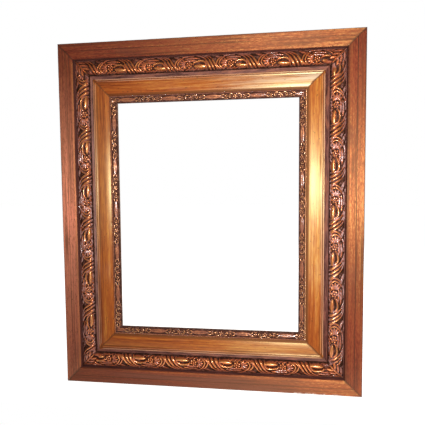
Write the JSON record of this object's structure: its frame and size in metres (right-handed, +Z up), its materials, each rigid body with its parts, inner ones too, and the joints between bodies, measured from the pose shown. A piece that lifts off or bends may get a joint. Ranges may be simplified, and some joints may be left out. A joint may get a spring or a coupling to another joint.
{
  "type": "ornate picture frame",
  "caption": "Upright gilt picture frame of nested mitred mouldings with a moulded garland band, open sight, rear turn buttons and ring hangers.",
  "frame": {"origin": "middle of the top rail's back face, where the frame bears on the wall", "axes": "+X to the viewer's right, +Y from the front into the wall, +Z up"},
  "size_m": [0.67, 0.047, 0.777],
  "materials": {
    "board_finish": "copper-brown bronzed wood, satin, worn",
    "bed_finish": "dusty purple-brown bronzed wood, matt",
    "garland_finish": "bronzed moulded composition, dark in the hollows",
    "panel_finish": "burnished orange-gold gilding, satin",
    "strip_finish": "bronzed moulded composition, satin",
    "softwood": "raw aged pine",
    "hardwood": "raw aged hardwood",
    "brass_plate": "tarnished brass",
    "steel": "dull steel"
  },
  "bodies": {
    "frame": {"outer_board_bottom": "board_finish", "outer_board_left": "board_finish", "outer_board_top": "board_finish", "outer_board_right": "board_finish", "channel_bed_bottom": "bed_finish", "channel_bed_left": "bed_finish", "channel_bed_top": "bed_finish", "channel_bed_right": "bed_finish", "garland_bottom": "garland_finish", "garland_left": "garland_finish", "garland_top": "garland_finish", "garland_right": "garland_finish", "inner_panel_bottom": "panel_finish", "inner_panel_left": "panel_finish", "inner_panel_top": "panel_finish", "inner_panel_right": "panel_finish", "sight_strip_bottom": "strip_finish", "sight_strip_left": "strip_finish", "sight_strip_top": "strip_finish", "sight_strip_right": "strip_finish", "glue_block_bottom_a": "softwood", "glue_block_bottom_b": "softwood", "glue_block_left_a": "softwood", "glue_block_left_b": "softwood", "glue_block_top_a": "softwood", "glue_block_top_b": "softwood", "glue_block_right_a": "softwood", "glue_block_right_b": "softwood", "mitre_key_bottom_left": "hardwood", "mitre_key_top_left": "hardwood", "mitre_key_top_right": "hardwood", "mitre_key_bottom_right": "hardwood", "hanger_strap_left": "brass_plate", "hanger_strap_right": "brass_plate", "hanger_screw_left_1": "steel", "hanger_screw_left_2": "steel", "hanger_screw_right_1": "steel", "hanger_screw_right_2": "steel", "button_screw_bottom": "steel", "button_screw_left_upper": "steel", "button_screw_left_lower": "steel", "button_screw_top": "steel", "button_screw_right_upper": "steel", "button_screw_right_lower": "steel"},
    "ring_left": {"hanger_ring_left": "steel"},
    "ring_right": {"hanger_ring_right": "steel"},
    "button_bottom": {"turn_button_bottom": "brass_plate"},
    "button_left_upper": {"turn_button_left_upper": "brass_plate"},
    "button_left_lower": {"turn_button_left_lower": "brass_plate"},
    "button_top": {"turn_button_top": "brass_plate"},
    "button_right_upper": {"turn_button_right_upper": "brass_plate"},
    "button_right_lower": {"turn_button_right_lower": "brass_plate"}
  },
  "joints": [
    {"name": "ring_left_swing", "type": "hinge", "parent": "frame", "child": "ring_left", "pos_m": [-0.2416, -0.0085, -0.215], "axis": [1, 0, 0], "range_deg": [0, 180]},
    {"name": "ring_right_swing", "type": "hinge", "parent": "frame", "child": "ring_right", "pos_m": [0.2416, -0.0085, -0.215], "axis": [1, 0, 0], "range_deg": [0, 180]},
    {"name": "button_bottom_turn", "type": "hinge", "parent": "frame", "child": "button_bottom", "pos_m": [0, -0.0108, -0.64135], "axis": [0, 1, 0], "continuous": true},
    {"name": "button_left_upper_turn", "type": "hinge", "parent": "frame", "child": "button_left_upper", "pos_m": [-0.21435, -0.0108, -0.235], "axis": [0, 1, 0], "continuous": true},
    {"name": "button_left_lower_turn", "type": "hinge", "parent": "frame", "child": "button_left_lower", "pos_m": [-0.21435, -0.0108, -0.512], "axis": [0, 1, 0], "continuous": true},
    {"name": "button_top_turn", "type": "hinge", "parent": "frame", "child": "button_top", "pos_m": [0, -0.0108, -0.10565], "axis": [0, 1, 0], "continuous": true},
    {"name": "button_right_upper_turn", "type": "hinge", "parent": "frame", "child": "button_right_upper", "pos_m": [0.21435, -0.0108, -0.235], "axis": [0, 1, 0], "continuous": true},
    {"name": "button_right_lower_turn", "type": "hinge", "parent": "frame", "child": "button_right_lower", "pos_m": [0.21435, -0.0108, -0.512], "axis": [0, 1, 0], "continuous": true}
  ]
}
